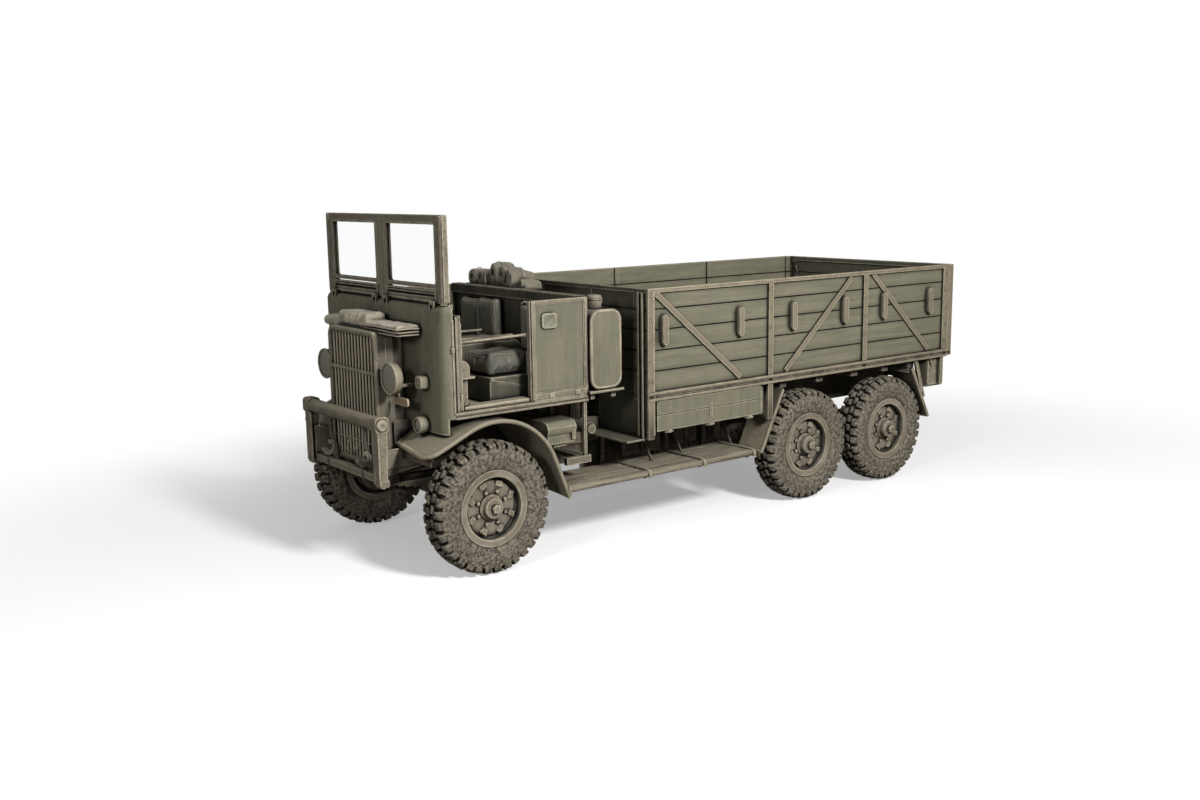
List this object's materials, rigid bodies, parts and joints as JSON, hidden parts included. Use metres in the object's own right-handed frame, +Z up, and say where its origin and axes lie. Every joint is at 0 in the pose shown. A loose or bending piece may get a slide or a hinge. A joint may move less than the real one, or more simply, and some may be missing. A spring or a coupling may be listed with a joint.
{
  "type": "six-wheeled open-cab cargo truck",
  "caption": "Unarmed military cargo truck with an open cab, folding windscreen, plank-sided load bed, drop tailgate, side lockers and steered front wheels.",
  "frame": {"origin": "on the ground below the centre of the truck's overall box", "axes": "+X forward along the truck, +Y to its left side, +Z up"},
  "size_m": [6.438, 2.332, 2.795],
  "materials": {
    "olive_panel": "matte, dusty",
    "tan_frame": "matte, worn",
    "planking": "painted planks, matte",
    "floor_boards": "bare worn boards",
    "running_gear": "dusty, matte",
    "wheel_paint": "dusty, matte",
    "tyre_rubber": "dusty",
    "hide": "worn, dull",
    "canvas": "folded canvas",
    "glass": "clear",
    "lamp_metal": "worn"
  },
  "bodies": {
    "truck": {"side_rails": "running_gear", "cross_members": "running_gear", "cab_mounts": "running_gear", "front_bumper": "olive_panel", "radiator": "olive_panel", "radiator_muff": "canvas", "cab_front_panel": "olive_panel", "cab_floor": "olive_panel", "cab_side_panels": "olive_panel", "cab_rear_wall": "olive_panel", "cowl_boards": "tan_frame", "dashboard": "olive_panel", "seat_frames": "olive_panel", "seat_cushions": "hide", "seat_backs": "hide", "engine_cover": "olive_panel", "engine": "running_gear", "folded_hood": "canvas", "fuel_tank": "olive_panel", "tank_carrier": "tan_frame", "battery_boxes": "olive_panel", "front_wings": "olive_panel", "running_boards": "floor_boards", "cargo_floor": "floor_boards", "floor_bearers": "floor_boards", "cargo_front_wall": "planking", "cargo_side_left": "planking", "cargo_side_right": "planking", "side_lockers": "olive_panel", "mud_flaps": "olive_panel", "lamps": "lamp_metal", "propeller_shafts": "running_gear", "exhaust": "running_gear", "front_axle": "running_gear", "leaf_springs": "running_gear", "bogie_axles": "running_gear"},
    "windscreen": {"windscreen_frame": "olive_panel", "windscreen_glass": "glass"},
    "steering_wheel": {"steering_wheel": "running_gear"},
    "tailgate": {"tailgate": "planking"},
    "locker_flap_left": {"locker_flap_left": "planking"},
    "locker_flap_right": {"locker_flap_right": "planking"},
    "knuckle_left": {"knuckle_left": "running_gear"},
    "knuckle_right": {"knuckle_right": "running_gear"},
    "tie_rod": {"tie_rod": "running_gear"},
    "wheel_front_left": {"wheel_front_left": "wheel_paint", "tyre_front_left": "tyre_rubber"},
    "wheel_front_right": {"wheel_front_right": "wheel_paint", "tyre_front_right": "tyre_rubber"},
    "wheel_mid_left": {"wheel_mid_left": "wheel_paint", "tyre_mid_left": "tyre_rubber"},
    "wheel_mid_right": {"wheel_mid_right": "wheel_paint", "tyre_mid_right": "tyre_rubber"},
    "wheel_rear_left": {"wheel_rear_left": "wheel_paint", "tyre_rear_left": "tyre_rubber"},
    "wheel_rear_right": {"wheel_rear_right": "wheel_paint", "tyre_rear_right": "tyre_rubber"}
  },
  "joints": [
    {"name": "steer_left", "type": "hinge", "parent": "truck", "child": "knuckle_left", "pos_m": [2.4435, 0.75, 0.53], "axis": [0, 0, 1], "range_deg": [-32, 32]},
    {"name": "steer_right", "type": "hinge", "parent": "truck", "child": "knuckle_right", "pos_m": [2.4435, -0.75, 0.53], "axis": [0, 0, 1], "range_deg": [-32, 32]},
    {"name": "tie_rod_pivot", "type": "hinge", "parent": "knuckle_left", "child": "tie_rod", "pos_m": [2.2235, 0.75, 0.464], "axis": [0, 0, 1], "range_deg": [-32, 32]},
    {"name": "steering_wheel_turn", "type": "hinge", "parent": "truck", "child": "steering_wheel", "pos_m": [2.15285, -0.56, 1.94435], "axis": [-0.4067, 0, 0.9135], "range_deg": [-384, 384]},
    {"name": "windscreen_fold", "type": "hinge", "parent": "truck", "child": "windscreen", "pos_m": [2.7875, 0, 2.137], "axis": [0, 1, 0], "range_deg": [0, 90]},
    {"name": "tailgate_drop", "type": "hinge", "parent": "truck", "child": "tailgate", "pos_m": [-3.1635, 0, 1.16], "axis": [0, -1, 0], "range_deg": [0, 165]},
    {"name": "locker_left_drop", "type": "hinge", "parent": "truck", "child": "locker_flap_left", "pos_m": [0.2095, 1.124, 0.914], "axis": [-1, 0, 0], "range_deg": [0, 150]},
    {"name": "locker_right_drop", "type": "hinge", "parent": "truck", "child": "locker_flap_right", "pos_m": [0.2095, -1.124, 0.914], "axis": [1, 0, 0], "range_deg": [0, 150]},
    {"name": "spin_front_left", "type": "hinge", "parent": "knuckle_left", "child": "wheel_front_left", "pos_m": [2.4435, 0.96, 0.53], "axis": [0, 1, 0], "continuous": true},
    {"name": "spin_front_right", "type": "hinge", "parent": "knuckle_right", "child": "wheel_front_right", "pos_m": [2.4435, -0.96, 0.53], "axis": [0, 1, 0], "continuous": true},
    {"name": "spin_mid_left", "type": "hinge", "parent": "truck", "child": "wheel_mid_left", "pos_m": [-1.1165, 0.96, 0.53], "axis": [0, 1, 0], "continuous": true},
    {"name": "spin_mid_right", "type": "hinge", "parent": "truck", "child": "wheel_mid_right", "pos_m": [-1.1165, -0.96, 0.53], "axis": [0, 1, 0], "continuous": true},
    {"name": "spin_rear_left", "type": "hinge", "parent": "truck", "child": "wheel_rear_left", "pos_m": [-2.2865, 0.96, 0.53], "axis": [0, 1, 0], "continuous": true},
    {"name": "spin_rear_right", "type": "hinge", "parent": "truck", "child": "wheel_rear_right", "pos_m": [-2.2865, -0.96, 0.53], "axis": [0, 1, 0], "continuous": true}
  ],
  "couplings": [
    {"joint": "steer_right", "follows": "steer_left", "ratio": 1},
    {"joint": "tie_rod_pivot", "follows": "steer_left", "ratio": -1},
    {"joint": "steering_wheel_turn", "follows": "steer_left", "ratio": 12}
  ]
}
